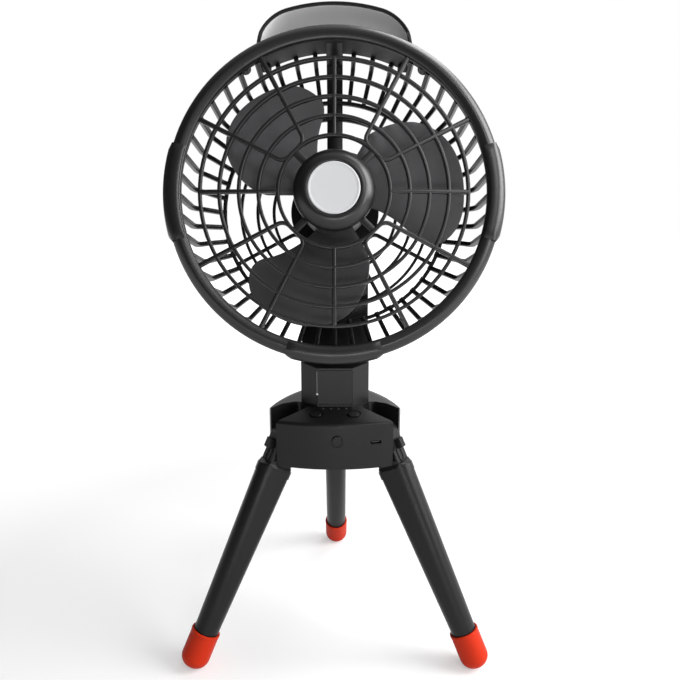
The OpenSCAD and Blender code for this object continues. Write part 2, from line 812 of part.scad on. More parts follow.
// two round bosses inside the top of the side wall, where the ring's pegs plug in
module shoulder_bosses()
    for (s = [-1, 1]) rotate([0, s * shoulder_turn, 0]) translate([0, flange_end - 2, wall_r - guard_t])
        rotate([-90, 0, 0]) cylinder(r = 4.3, h = 7);

// ears that carry the handle, standing on the side wall
module handle_lugs()
    for (s = [-1, 1]) translate([s * (lug_x + lug_w / 2), handle_pivot[0], handle_pivot[1]]) {
        rod(lug_r, lug_w);
        translate([0, 0, -3.2]) cube([lug_w, 2 * lug_r - 0.1, 6.4], center = true);
    }

module handle_pins()
    color(steel) on_head() for (s = [-1, 1]) {
        length = lug_w + slide_gap + strap_t;
        translate([s * (lug_x + length / 2), handle_pivot[0], handle_pivot[1]]) rod(handle_pin_r, length);
    }

// the motor's back cover, with the tongue of the tilt hinge below it
module motor_cover()
    color(black) on_head() difference() {
        union() {
            spun() polygon(concat([[0, rear_depth], [motor_plate_r, rear_depth], [motor_plate_r, rear_depth + 1.6],
                [cover_r, rear_depth + 1.6]],
                [for (i = [0:5]) [cover_r - 4 + 4 * cos(18 * i), cover_back - 4 + 4 * sin(18 * i)]],
                [[0, cover_back]]));
            translate([0, pivot_depth, -pivot_drop]) rod(knuckle_r, tongue_w);
            across(tongue_w) polygon([[rear_depth, -18], [rear_depth + 8, -18],
                [pivot_depth + 5, -pivot_drop + knuckle_r - 2.2], [pivot_depth, -pivot_drop],
                [pivot_depth - knuckle_r + 0.6, -pivot_drop - 2], [rear_depth, -pivot_drop + 1]]);
        }
        translate([0, pivot_depth, -pivot_drop]) rod(tilt_pin_d / 2 + run_gap, tongue_w + 2);
        spun() polygon([[0, rear_depth - 1], [cover_r - 2, rear_depth - 1], [cover_r - 2, cover_back - 3],
                        [0, cover_back - 3]]);
        for (a = [45:90:315]) rotate([0, a, 0]) translate([cover_screw_r, rear_depth, 0])
            rotate([90, 0, 0]) cylinder(r = screw_r + 0.1, h = 20, center = true);
    }

module guard_screws()
    color(steel) on_head() for (a = [45:90:315]) rotate([0, a, 0])
        translate([cover_screw_r, rear_depth + 1.6, 0]) rotate([90, 0, 0]) {
            cylinder(r = screw_r, h = 4.4);
            translate([0, 0, -1.4]) cylinder(r = 2.4, h = 1.4);
        }

module motor()
    color(steel) on_head() difference() {
        union() {
            spun() polygon([[0, motor_front], [motor_d / 2 - 1, motor_front], [motor_d / 2, motor_front + 1],
                            [motor_d / 2, motor_back], [0, motor_back]]);
            spun() polygon([[0, motor_front - 2], [5, motor_front - 2], [5, motor_front], [0, motor_front]]);
        }
        spun() polygon([[0, motor_front - 3], [shaft_d / 2 + run_gap, motor_front - 3],
                        [shaft_d / 2 + run_gap, motor_back - 3], [0, motor_back - 3]]);
    }

// ---------- rotor ----------

blade_turn = 84;
blade_first = -44;
blade_phase = 20;
shaft_front = hub_front - 3;

module polar(r, a) rotate(a) translate([r, 0]) children();

// front view of one blade: narrow at the hub, broad and round at the tip
module blade_outline()
    hull() {
        polar(blade_r - 10, -33) circle(r = 9, $fn = 32);
        polar(blade_r - 15, -17) circle(r = 15, $fn = 32);
        polar(blade_r - 23, 10) circle(r = 22.5, $fn = 40);
        polar(blade_r * 0.42, 26) circle(r = 15, $fn = 32);
        polar(14, 8) circle(r = 10, $fn = 32);
    }

// a screw surface, one thin radial wedge turned as it comes forward
module blade_sweep() {
    wedge = blade_turn * blade_t / blade_depth;
    translate([0, blade_end, 0]) rotate([90, 0, 0])
        linear_extrude(blade_depth, twist = -blade_turn, slices = 18, segments = 12)
            rotate(blade_first - wedge / 2) polygon(concat(
                [for (r = [hub_r - 4, blade_r + 3]) r * [1, 0]],
                [for (r = [blade_r + 3, hub_r - 4]) r * [cos(wedge), sin(wedge)]]));
}

module fan_blades()
    color(charcoal) on_head() difference() {
        union() {
            spun() polygon([[0, hub_front], [hub_r - 3, hub_front], [hub_r, hub_front + 3], [hub_r, blade_end],
                            [hub_r - 2, blade_end], [hub_r - 2, hub_front + 3.4], [5, hub_front + 3.4],
                            [5, motor_front - 3], [0, motor_front - 3]]);
            for (i = [0:blades - 1]) rotate([0, -(blade_phase + i * 360 / blades), 0]) intersection() {
                blade_sweep();
                difference() {
                    plate(hub_front - 4, blade_end + 2) blade_outline();
                    spun() translate([0, hub_front - 6]) square([hub_r - 1, blade_depth + 12]);
                }
            }
        }
        spun() translate([0, hub_front - 1]) square([shaft_d / 2, 30]);
    }

module fan_shaft()
    color(steel) on_head() spun() translate([0, shaft_front])
        square([shaft_d / 2, motor_back - 4 - shaft_front]);

module fan_nut()
    color(steel) on_head() spun() polygon([[shaft_d / 2, hub_front - 2.6], [4, hub_front - 2.6],
        [4.5, hub_front - 2], [4.5, hub_front], [shaft_d / 2, hub_front]]);

// ---------- handle ----------

arch_r = 98;
corner_r = 28.2;
corner_x = handle_x + strap_t - corner_r + 0.1;

// front view of the handle's outer edge, moved in by the strap's thickness where asked
module handle_outline(inset) {
    top = handle_top - inset;
    hull() {
        intersection() {
            translate([0, top - arch_r]) circle(r = arch_r, $fn = 160);
            translate([-corner_x, top - 12]) square([2 * corner_x, 12]);
        }
        for (s = [-1, 1]) translate([s * corner_x, handle_top - 3 - corner_r]) circle(r = corner_r - inset);
        translate([-handle_x - strap_t + inset, handle_pivot[1] - 6]) square([2 * (handle_x + strap_t - inset), 6]);
    }
}

// side view of the strap: broad at the grip, narrow at the pins
module handle_side()
    hull() {
        translate([handle_pivot[0], handle_pivot[1]]) circle(r = arm_half);
        for (s = [-1, 1]) translate([handle_pivot[0] + s * (strap_w / 2 - 4), handle_top - 19])
            circle(r = 4, $fn = 40);
        translate([handle_pivot[0] - strap_w / 2, handle_top - 8]) square([strap_w, 10]);
    }

module handle()
    color(black) on_head() difference() {
        intersection() {
            plate(handle_pivot[0] - strap_w, handle_pivot[0] + strap_w) difference() {
                handle_outline(0);
                handle_outline(strap_t);
            }
            across(2 * handle_x + 3 * strap_t) handle_side();
        }
        translate([0, handle_pivot[0], handle_pivot[1]]) rod(handle_pin_r + run_gap, 2 * handle_x + 3 * strap_t);
    }

base_shell();
base_tray();
leg_pins();
base_screws();
panel_board();
power_board();
indicator_lights();
usb_socket();
battery_cells();
post_housing();
post_cover();
tilt_pin();
tilt_caps();
left_button();
right_button();
power_button();
leg_left();
leg_right();
leg_rear();
foot_left();
foot_right();
foot_rear();
rear_guard();
motor_cover();
motor();
front_grille();
hub_dome();
badge_disc();
left_clip();
right_clip();
lower_clip();
guard_screws();
handle_pins();
fan_blades();
fan_shaft();
fan_nut();
handle();
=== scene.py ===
import json
import math

import bmesh
import bpy
from mathutils import Matrix, Vector


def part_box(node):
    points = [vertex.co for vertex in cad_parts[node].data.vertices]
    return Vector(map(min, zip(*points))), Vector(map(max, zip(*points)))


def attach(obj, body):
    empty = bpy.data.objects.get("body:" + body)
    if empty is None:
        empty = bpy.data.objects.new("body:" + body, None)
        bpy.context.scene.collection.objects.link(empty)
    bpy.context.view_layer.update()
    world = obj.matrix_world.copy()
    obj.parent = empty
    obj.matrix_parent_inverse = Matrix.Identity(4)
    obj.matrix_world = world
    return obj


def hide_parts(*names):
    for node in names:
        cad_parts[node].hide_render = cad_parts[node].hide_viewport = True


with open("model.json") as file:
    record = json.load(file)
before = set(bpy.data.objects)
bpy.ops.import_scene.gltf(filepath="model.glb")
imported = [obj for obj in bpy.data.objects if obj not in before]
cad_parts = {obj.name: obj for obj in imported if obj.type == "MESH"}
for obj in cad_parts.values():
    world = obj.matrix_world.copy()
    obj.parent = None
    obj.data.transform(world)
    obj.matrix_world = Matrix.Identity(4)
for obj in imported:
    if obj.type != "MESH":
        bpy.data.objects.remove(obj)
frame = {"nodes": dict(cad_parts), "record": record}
nodes = frame["nodes"]
joints = {joint["name"]: joint for joint in frame["record"]["behaviour"]["joints"]}


def saveBounds():
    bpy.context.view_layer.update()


saveBounds()
print("frame loaded")


def newMaterial(name):
    material = bpy.data.materials.new(name)
    material.use_nodes = True
    return material, material.node_tree


# what all finishes share: clouds of tone and gloss about 3 cm across, and how deep the grain is in metres
surface = {"cloudScale": 35, "cloudDetail": 4, "grainDetail": 3, "grainHeight": 0.0002, "glossSpread": 0.05}


# moulded plastic, rubber or metal: a fine grain, a slow change of tone and of gloss
def mouldedMaterial(name, look):
    material, tree = newMaterial(name)
    shader = tree.nodes["Principled BSDF"]
    place = tree.nodes.new("ShaderNodeTexCoord")
    grain = tree.nodes.new("ShaderNodeTexNoise")
    grain.inputs["Scale"].default_value = look["grainScale"]
    grain.inputs["Detail"].default_value = surface["grainDetail"]
    tree.links.new(place.outputs["Object"], grain.inputs["Vector"])
    cloud = tree.nodes.new("ShaderNodeTexNoise")
    cloud.inputs["Scale"].default_value = surface["cloudScale"]
    cloud.inputs["Detail"].default_value = surface["cloudDetail"]
    tree.links.new(place.outputs["Object"], cloud.inputs["Vector"])
    tone = tree.nodes.new("ShaderNodeMixRGB")
    tone.inputs["Color1"].default_value = (*look["color"], 1)
    tone.inputs["Color2"].default_value = (*[c * look["mottle"] for c in look["color"]], 1)
    tree.links.new(cloud.outputs["Fac"], tone.inputs["Fac"])
    tree.links.new(tone.outputs["Color"], shader.inputs["Base Color"])
    gloss = tree.nodes.new("ShaderNodeMapRange")
    gloss.inputs["To Min"].default_value = look["rough"] - surface["glossSpread"]
    gloss.inputs["To Max"].default_value = look["rough"] + surface["glossSpread"]
    tree.links.new(cloud.outputs["Fac"], gloss.inputs["Value"])
    tree.links.new(gloss.outputs["Result"], shader.inputs["Roughness"])
    bump = tree.nodes.new("ShaderNodeBump")
    bump.inputs["Strength"].default_value = look["bump"]
    bump.inputs["Distance"].default_value = surface["grainHeight"]
    tree.links.new(grain.outputs["Fac"], bump.inputs["Height"])
    tree.links.new(bump.outputs["Normal"], shader.inputs["Normal"])
    shader.inputs["Metallic"].default_value = look.get("metal", 0)
    shader.inputs["Specular IOR Level"].default_value = look.get("specular", 0.5)
    return material


# grainScale is in grains per metre, specular is 0.5 and metal 0 where they aren't given
looks = {
    "black_plastic": {"color": (0.0076, 0.0076, 0.0081), "mottle": 0.85, "rough": 0.34, "bump": 0.08,
                      "grainScale": 2600, "specular": 0.22},
    "satin_plastic": {"color": (0.0076, 0.0076, 0.0081), "mottle": 0.85, "rough": 0.31, "bump": 0.06,
                      "grainScale": 2600, "specular": 0.45},
    "charcoal_plastic": {"color": (0.085, 0.085, 0.088), "mottle": 0.88, "rough": 0.4, "bump": 0.08,
                         "grainScale": 2600, "specular": 0.22},
    # painted reflection: the pale grey sheet under the handle's strap
    "painted_reflection_grey": {"color": (0.8, 0.8, 0.805), "mottle": 0.94, "rough": 0.5, "bump": 0.12,
                  "grainScale": 2000, "specular": 0.3},
    "orange_rubber": {"color": (0.57, 0.027, 0.005), "mottle": 0.9, "rough": 0.5, "bump": 0.2,
                      "grainScale": 1800, "specular": 0.14},
    "badge_white": {"color": (0.64, 0.65, 0.66), "mottle": 0.97, "rough": 0.4, "bump": 0.04,
                    "grainScale": 2600},
    "lens_white": {"color": (0.05, 0.05, 0.053), "mottle": 0.9, "rough": 0.25, "bump": 0.03,
                   "grainScale": 2600},
    # painted highlight: the pale bead down the post's left bevel
    "seam_highlight_grey": {"color": (0.16, 0.16, 0.165), "mottle": 0.9, "rough": 0.35, "bump": 0.03,
                  "grainScale": 2600},
    "dot_pale": {"color": (0.6, 0.6, 0.61), "mottle": 0.95, "rough": 0.3, "bump": 0.02,
                 "grainScale": 2600},
    "socket_steel": {"color": (0.05, 0.05, 0.052), "mottle": 0.8, "rough": 0.4, "bump": 0.05,
                     "grainScale": 2600, "metal": 1},
    "circuit_board": {"color": (0.02, 0.1, 0.05), "mottle": 0.8, "rough": 0.4, "bump": 0.1,
                      "grainScale": 1500},
    "cell_wrap": {"color": (0.06, 0.2, 0.12), "mottle": 0.9, "rough": 0.35, "bump": 0.05,
                  "grainScale": 1500},
    "motor_can": {"color": (0.35, 0.35, 0.36), "mottle": 0.85, "rough": 0.4, "bump": 0.1,
                  "grainScale": 1500, "metal": 1},
    "steel": {"color": (0.55, 0.55, 0.56), "mottle": 0.9, "rough": 0.32, "bump": 0.1,
              "grainScale": 1500, "metal": 1},
}
finishes = {name: mouldedMaterial(name, look) for name, look in looks.items()}
# every node gets its slot's finish, also where no new piece replaces it; the inlet is darker than its slot
for part in frame["record"]["subparts"]:
    mesh = nodes[part["node"]].data
    mesh.materials.clear()
    mesh.materials.append(finishes["socket_steel" if part["node"] == "usb_socket" else part["material_slot"]])
print("finishes done")

# pieces are drawn in millimetres about the stand's, the head's or a leg's own axes

tiltPivot = Vector(joints["head_tilt"]["pos_m"]) * 1000
head = {"lean": 11.6, "pivotDepth": 74.8, "pivotDrop": 36, "wall": 99.3, "sideDepth": 47, "rearDepth": 64,
        "rearRadius": 78}
toMetres = Matrix.Scale(0.001, 4)
onHead = (toMetres @ Matrix.Translation(tiltPivot) @ Matrix.Rotation(math.radians(-head["lean"]), 4, "X")
          @ Matrix.Translation((0, -head["pivotDepth"], head["pivotDrop"])))
legHinge = Vector(joints["left_leg_fold"]["pos_m"]) * 1000
rearHinge = Vector(joints["rear_leg_fold"]["pos_m"]) * 1000
standAxis = Vector((0, (rearHinge.y + 2 * legHinge.y) / 3, 0))
onStand = toMetres @ Matrix.Translation(standAxis)
hingeReach = rearHinge.y - standAxis.y
legSplay = 26


def onLeg(turn):
    return (onStand @ Matrix.Rotation(math.radians(turn), 4, "Z")
            @ Matrix.Translation((hingeReach, 0, rearHinge.z))
            @ Matrix.Rotation(math.radians(-legSplay), 4, "Y"))


mergeGap = 0.0005


# closes seams, points the faces outwards, puts the piece in its place and on its body
def finishPiece(name, shape, place, body, slot, replaced, sharp, finish=None, steady=False):
    bmesh.ops.remove_doubles(shape, verts=shape.verts, dist=mergeGap)
    bmesh.ops.recalc_face_normals(shape, faces=shape.faces)
    bmesh.ops.transform(shape, matrix=place, verts=shape.verts)
    mesh = bpy.data.meshes.new(name)
    shape.to_mesh(mesh)
    shape.free()
    mesh.shade_smooth()
    mesh.set_sharp_from_angle(angle=math.radians(sharp))
    if steady:
        steadyNormals(mesh, sharp)
    mesh.materials.append(finishes[finish or slot])
    piece = bpy.data.objects.new(name, mesh)
    bpy.context.scene.collection.objects.link(piece)
    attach(piece, body)
    if replaced:
        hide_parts(*replaced)


# shades each corner by the large faces round it, so that flat walls stay flat up to their round edges
def steadyNormals(mesh, sharp):
    around = [[] for _ in mesh.vertices]
    for face in mesh.polygons:
        for vertex in face.vertices:
            around[vertex].append(face.index)
    normals = [face.normal.copy() for face in mesh.polygons]
    areas = [face.area for face in mesh.polygons]
    limit = math.cos(math.radians(sharp))
    corners = []
    for face in mesh.polygons:
        for vertex in face.vertices:
            total = Vector()
            for other in around[vertex]:
                if normals[other].dot(normals[face.index]) > limit:
                    total += normals[other] * areas[other]
            corners.append(total.normalized())
    mesh.normals_split_custom_set(corners)


# a closed outline of (radius, depth) turned about the head's or the leg's axis, all round or between two
# angles counted from three o'clock, counterclockwise as seen from the front
def turned(shape, outline, steps, span=None):
    start, end = span or (0, 360)
    spin = Matrix.Rotation(math.radians(-start), 4, "Y")
    points = [shape.verts.new(spin @ Vector((radius, depth, 0))) for radius, depth in outline]
    whole = span is None
    if whole:
        geometry = points + [shape.edges.new((points[i - 1], points[i])) for i in range(len(points))]
    else:
        geometry = [shape.faces.new(points)]
    bmesh.ops.spin(shape, geom=geometry, cent=(0, 0, 0), axis=(0, 1, 0), steps=steps,
                   angle=math.radians(start - end), use_merge=whole)


# a flat outline carried along a row of places, growing and turning as they do
def swept(shape, outline, stations):
    cap = shape.faces.new([shape.verts.new(stations[0] @ Vector((x, y, 0))) for x, y in outline])
    for before, after in zip(stations, stations[1:]):
        grown = bmesh.ops.extrude_face_region(shape, geom=[cap])["geom"]
        cap = next(part for part in grown if isinstance(part, bmesh.types.BMFace))
        bmesh.ops.transform(shape, matrix=after @ before.inverted(), verts=cap.verts)


# an outline with round corners, width by height about its middle
def roundedBox(width, height, corner, steps=3):
    points = []
    for quarter, (sx, sy) in enumerate(((1, 1), (-1, 1), (-1, -1), (1, -1))):
        for i in range(steps + 1):
            angle = math.radians(90 * quarter + 90 * i / steps)
            points.append((sx * (width / 2 - corner) + corner * math.cos(angle),
                           sy * (height / 2 - corner) + corner * math.sin(angle)))
    return points


# places along a path, the outline's x across it and y to the side that faces "out",
# which is one direction, or a list of them with one for each point
def alongPath(path, out, closed=False):
    stations = []
    count = len(path)
    for i, point in enumerate(path):
        ahead = path[(i + 1) % count] if closed or i + 1 < count else point
        behind = path[i - 1] if closed or i > 0 else point
        forward = (ahead - behind).normalized()
        face = out[i] if isinstance(out, list) else out
        side = forward.cross(face).normalized()
        face = side.cross(forward).normalized()
        turn = Matrix((side, face, forward)).transposed().to_4x4()
        stations.append(Matrix.Translation(point) @ turn)
    return stations


# a point on the head, by its angle from three o'clock
def polar(radius, angle, depth):
    return Vector((radius * math.cos(math.radians(angle)), depth, radius * math.sin(math.radians(angle))))


softEdge = {"mergeGap": 0.002, "flatWithin": 1, "sharperThan": 32, "segments": 2}


# a merged copy of a CAD node with its sharp edges rounded by a width in millimetres
def softened(node, body, slot, width, widen=1):
    shape = bmesh.new()
    shape.from_mesh(nodes[node].data)
    bmesh.ops.scale(shape, vec=(1000 * widen, 1000, 1000), verts=shape.verts)
    bmesh.ops.remove_doubles(shape, verts=shape.verts, dist=softEdge["mergeGap"])
    bmesh.ops.dissolve_limit(shape, angle_limit=math.radians(softEdge["flatWithin"]), verts=shape.verts,
                             edges=shape.edges)
    edges = [edge for edge in shape.edges
             if len(edge.link_faces) == 2 and edge.calc_face_angle(0) > math.radians(softEdge["sharperThan"])]
    bmesh.ops.bevel(shape, geom=edges, offset=width, segments=softEdge["segments"], profile=0.5,
                    affect="EDGES", material=-1, clamp_overlap=True)
    finishPiece(node + "_soft", shape, toMetres, body, slot, (node,), 50, steady=True)


grille = {"ringRadius": 103.6, "innerRadius": 93.7, "seatRadius": 99.6, "seatDepth": 3.6, "lipDepth": 4.6,
          "back": 9, "ringSteps": 160, "rise": 2, "bulge": 4,
          "ribWidth": 2.25, "ribDepth": 3, "ribCorner": 0.62, "ribStep": 6,
          "firstCircle": 34.1, "circleStep": 11.98, "circles": 5, "circleSteps": 112,
          "straightProud": 0.04, "diagonalProud": 0.02,
          "loop": {"near": 34.1, "start": 8.87, "bend": 6.1, "lean": 17.6, "reach": 94.3},
          "broaden": {"from": 30, "over": 64, "by": 0.32},
          "stub": {"near": 22.8, "far": 33.6, "sink": 1.9, "width": 4.4, "depth": 2.6, "corner": 0.6},
          "hubRim": {"inner": 20.8, "outer": 23.8, "front": 0.2, "back": 2.9, "steps": 96}}
toFront = Vector((0, -1, 0))


# the grille swells towards the middle, to "rise" less "bulge" at the axis
def grilleFront(radius):
    return grille["rise"] - grille["bulge"] * (1 - (radius / grille["innerRadius"]) ** 2)


def makeFrontGrille():
    shape = bmesh.new()
    outer, inner, back = grille["ringRadius"], grille["innerRadius"], grille["back"]
    # the ring: a broad round shoulder outside, and a nearly flat band down to the inner lip
    turned(shape, [(inner, grille["lipDepth"]), (inner, 1.9), (inner + 0.25, 1.35), (inner + 0.8, 0.95),
                   (inner + 2.6, 0.5), (inner + 3.9, 0.14), (inner + 4.6, 0.1), (outer - 4.3, 0.4),
                   (outer - 2.8, 1.25), (outer - 1.4, 2.3), (outer - 0.5, 3.4), (outer - 0.1, 4.5),
                   (outer, 5.4), (outer, back - 0.3), (outer - 0.3, back), (grille["seatRadius"], back),
                   (grille["seatRadius"], grille["seatDepth"]), (inner + 2, grille["seatDepth"]),
                   (inner + 2, grille["lipDepth"])], grille["ringSteps"])
    half = grille["ribDepth"] / 2
    rib = roundedBox(grille["ribWidth"], grille["ribDepth"], grille["ribCorner"])
    radii = [grille["firstCircle"] + i * grille["circleStep"] for i in range(grille["circles"])]
    for radius in radii:
        depth = grilleFront(radius) + half
        turned(shape, [(radius + x, depth - y) for x, y in rib], grille["circleSteps"])
    # the spokes stand a hair proud of the circles, so that no two faces coincide
    stub, hubRim = grille["stub"], grille["hubRim"]
    for quarter in range(4):
        straight, between = 90 * quarter, 90 * quarter + 45
        line = [polar(radius, straight, grilleFront(radius) + half - grille["straightProud"])
                for radius in ribRadii(radii[0], radii[-1])]
        swept(shape, rib, broadened(alongPath(line, toFront), line))
        line = diagonalLoop(between, grille["loop"],
                            lambda radius: grilleFront(radius) + half - grille["diagonalProud"])
        swept(shape, rib, broadened(alongPath(line, toFront), line))
        line = [polar(radius, between, grilleFront(radius) + stub["sink"])
                for radius in (stub["near"], stub["far"])]
        swept(shape, roundedBox(stub["width"], stub["depth"], stub["corner"]), alongPath(line, toFront))
    seat = grilleFront(dome["seatAt"])
    turned(shape, [(hubRim["inner"], seat + hubRim["front"]), (hubRim["outer"], seat + hubRim["front"]),
                   (hubRim["outer"], seat + hubRim["back"]), (hubRim["inner"], seat + hubRim["back"])],
           hubRim["steps"])
    finishPiece("frontGrille", shape, onHead, "head", "black_plastic", ("front_grille",), 40,
                finish="satin_plastic")


def ribRadii(start, end):
    count = max(2, round((end - start) / grille["ribStep"]))
    return [start + (end - start) * i / count for i in range(count + 1)]


# a spoke is broader towards the ring
def broadened(stations, line):
    broaden = grille["broaden"]
    return [station @ Matrix.Diagonal((1 + broaden["by"] * max(0, point.length - broaden["from"])
                                       / broaden["over"], 1, 1, 1))
            for station, point in zip(stations, line)]


loopSteps = {"bend": 8, "spoke": 5, "lastSpoke": 6}


# the middle line of two diagonal spokes joined by a bend near the hub
def diagonalLoop(turn, loop, depthAt):
    lean = math.radians(loop["lean"])
    bend, near, start, reach = loop["bend"], loop["near"], loop["start"], loop["reach"]
    # middle of the rounded corner where a spoke leaves the short bridge
    cornerY = start - bend * (1 - math.sin(lean)) / math.cos(lean)
    centre = Vector((near + bend, cornerY))
    spoke = []
    for i in range(loopSteps["bend"] + 1):
        angle = math.pi - (math.pi / 2 - lean) * i / loopSteps["bend"]
        spoke.append(centre + bend * Vector((math.cos(angle), math.sin(angle))))
    tangent = Vector((math.cos(lean), math.sin(lean)))
    while spoke[-1].length < reach - loopSteps["lastSpoke"]:
        spoke.append(spoke[-1] + tangent * loopSteps["spoke"])
    # the last step ends at the reach exactly
    tip = spoke[-1]
    along = tip.dot(tangent)
    spoke.append(tip + tangent * (-along + math.sqrt(along * along + reach * reach - tip.length_squared)))
    flat = [Vector((p.x, -p.y)) for p in reversed(spoke)] + spoke
    place = Matrix.Rotation(math.radians(turn), 2)
    path = []
    for p in flat:
        q = place @ p
        path.append(Vector((q.x, depthAt(p.length), q.y)))
    return path


# it stands on the grille's front at the radius "seatAt"
dome = {"radius": 24.8, "height": 7.4, "seatAt": 12, "steps": 96,
        "badge": {"radius": 15.7, "sink": 0.8, "recess": 0.9}}


def makeDome():
    shape = bmesh.new()
    seat = grilleFront(dome["seatAt"])
    top = seat - dome["height"]
    wall, badgeRadius, floorDepth = dome["radius"], dome["badge"]["radius"], top + dome["badge"]["recess"]
    turned(shape, [(0, seat), (wall - 0.3, seat), (wall, seat - 0.3), (wall, seat - 0.9),
                   (wall - 0.2, seat - 1.7), (wall - 0.8, seat - 2.8), (wall - 3.2, top + 2.1),
                   (wall - 4.6, top + 1), (wall - 5.7, top + 0.35), (wall - 6.8, top + 0.03),
                   (badgeRadius + 0.9, top), (badgeRadius + 0.45, top + 0.12),
                   (badgeRadius + 0.15, top + 0.5), (badgeRadius + 0.1, floorDepth), (0, floorDepth)],
           dome["steps"])
    finishPiece("hubDome", shape, onHead, "head", "black_plastic", ("hub_dome",), 50,
                finish="satin_plastic")
    # a plain disc with a fine raised rim
    badge = bmesh.new()
    face = top + dome["badge"]["sink"]
    turned(badge, [(0, face), (badgeRadius, face), (badgeRadius, face - 0.6),
                   (badgeRadius - 0.12, face - 0.85), (badgeRadius - 0.45, face - 1),
                   (badgeRadius - 1.1, face - 0.97), (badgeRadius - 1.6, face - 0.8),
                   (badgeRadius - 2, face - 0.78), (0, face - 0.86)], dome["steps"])
    finishPiece("badgeDisc", badge, onHead, "head", "badge_white", ("badge_disc",), 50)


makeFrontGrille()
makeDome()

clip = {"half": 17, "taper": 1.9, "thinning": 0.85, "ringRadius": 103.3, "steps": 28,
        "outline": [(94.3, 0.95), (94.3, 0.2), (94.7, -0.4), (95.6, -0.8), (99.6, -0.95), (100.8, -0.65),
                    (102.3, 0.3), (103.7, 1.55), (104.7, 2.9), (105.2, 4.3), (105.4, 5.8), (105.4, 11.2),
                    (105.1, 11.9), (104.4, 12.2), (100.6, 12.2), (100.5, 11.02), (103.62, 11),
                    (103.62, 5.3), (103.1, 3.3), (102.2, 2.2), (100.8, 1.15), (99.3, 0.3), (98.3, 0),
                    (97.6, 0), (96.3, 0.4), (94.6, 0.85)]}


# a clip hugs the ring with a round shoulder, and thins out at both ends
def makeClip(node, name, turn):
    shape = bmesh.new()
    turned(shape, clip["outline"], clip["steps"], (turn - clip["half"], turn + clip["half"]))
    # the ends lean in to meet the ring
    for end in (-1, 1):
        limit = turn + end * (clip["half"] - clip["taper"])
        for vertex in shape.verts:
            angle = math.degrees(math.atan2(vertex.co.z, vertex.co.x))
            past = end * ((angle - limit + 180) % 360 - 180)
            if past > 0:
                thin = clip["thinning"] * past / clip["taper"]
                radius = Vector((vertex.co.x, vertex.co.z)).length
                shrink = 1 - thin * max(0, radius - clip["ringRadius"]) / radius
                vertex.co.x *= shrink
                vertex.co.z *= shrink
                if vertex.co.y < 0:
                    vertex.co.y *= 1 - thin
    finishPiece(name, shape, onHead, "head", "black_plastic", (node,), 40, finish="satin_plastic")


makeClip("right_clip", "rightClip", 0)
makeClip("left_clip", "leftClip", 180)
makeClip("lower_clip", "lowerClip", 270)
print("ring, grille, dome and clips done")

guard = {"slats": 48, "slatWidth": 2.9, "slatThick": 3.8, "slatCorner": 0.32,
         "ringOutline": [(-3.2, 5.2), (-0.6, 5.2), (-0.1, 5.8), (-0.1, 9.1), (2.7, 9.1), (3.1, 9.5),
                         (3.1, 10.6), (2.7, 10.95), (0, 10.95), (-0.1, 12.3), (-3.2, 12.4)], "ringSteps": 144,
         "hoops": (66.2, 54.7, 43.2), "hoopWidth": 2.1, "rimWidth": 2.6, "hoopDepth": 3.3,
         "hoopCorner": 0.7, "hoopSink": 1.7, "hoopSteps": 112,
         "loop": {"near": 29.6, "start": 9.05, "bend": 5.4, "lean": 17, "reach": 78},
         "spokeWidth": 2.5, "spokeDepth": 3.2, "spokeSink": 1.75,
         "plateRadius": 31, "plateThick": 3.3, "plateEdge": 0.4, "plateSteps": 96,
         "motorRim": [(17.1, 52.8), (17.4, 52.6), (19.1, 52.6), (19.4, 52.9), (19.4, 61), (17.1, 61)],
         "motorRimSteps": 64,
         "panelHalf": 28, "panelFront": 11, "panelEnd": 28.6, "panelSteps": 40,
         "spineWidth": 11, "spineThick": 2, "spineCorner": 0.5,
         "boss": {"turn": 34.8, "out": 98.4, "radius": 3.6, "sides": 28,
                  "ends": ((9.1, 0.86), (9.5, 1), (15.4, 1), (15.9, 0.9))},
         "ear": {"radius": 3.6, "foot": 6.4, "footHalf": 3.55, "middle": 3.4, "step": 15,
                 "ends": ((-3.1, 0.92), (-2.8, 1), (2.8, 1), (3.1, 0.92))}}
toBack = Vector((0, 1, 0))


# the side's slats: one goes from behind the ring over the rounded shoulder to the flat back
def addSlats(shape):
    wall, rear, side = head["wall"], head["rearRadius"], head["sideDepth"]
    section = roundedBox(guard["slatWidth"], guard["slatThick"], guard["slatCorner"], 2)
    # radius and depth of the middle line, then how far its outer face looks outward and backward
    line = [(wall - 2.2, 10.4, 1, 0), (wall - 2.2, 30, 1, 0), (wall - 2.3, side - 3.6, 1, 0.2),
            (wall - 2.9, side - 1.2, 1, 0.6), (wall - 4.2, side + 0.9, 1, 0.9),
            (wall - 9, side + 4.6, 0.7, 1), (rear + 3.4, 60.2, 0.5, 1), (rear + 0.6, 61.9, 0.2, 1),
            (rear - 1.5, 62.3, 0, 1)]
    for i in range(guard["slats"]):
        angle = i * 360 / guard["slats"]
        besideTop = abs(angle - 90)
        # the spine takes the place of the slat at the top
        if besideTop < 1:
            continue
        # under the closed panel a slat starts at the panel's edge
        start = guard["panelEnd"] - 1.5 if besideTop < guard["panelHalf"] - 1 else line[0][1]
        path = [polar(radius, angle, max(start, depth)) for radius, depth, out, back in line]
        facing = [polar(out, angle, back) for radius, depth, out, back in line]
        swept(shape, section, alongPath(path, facing))


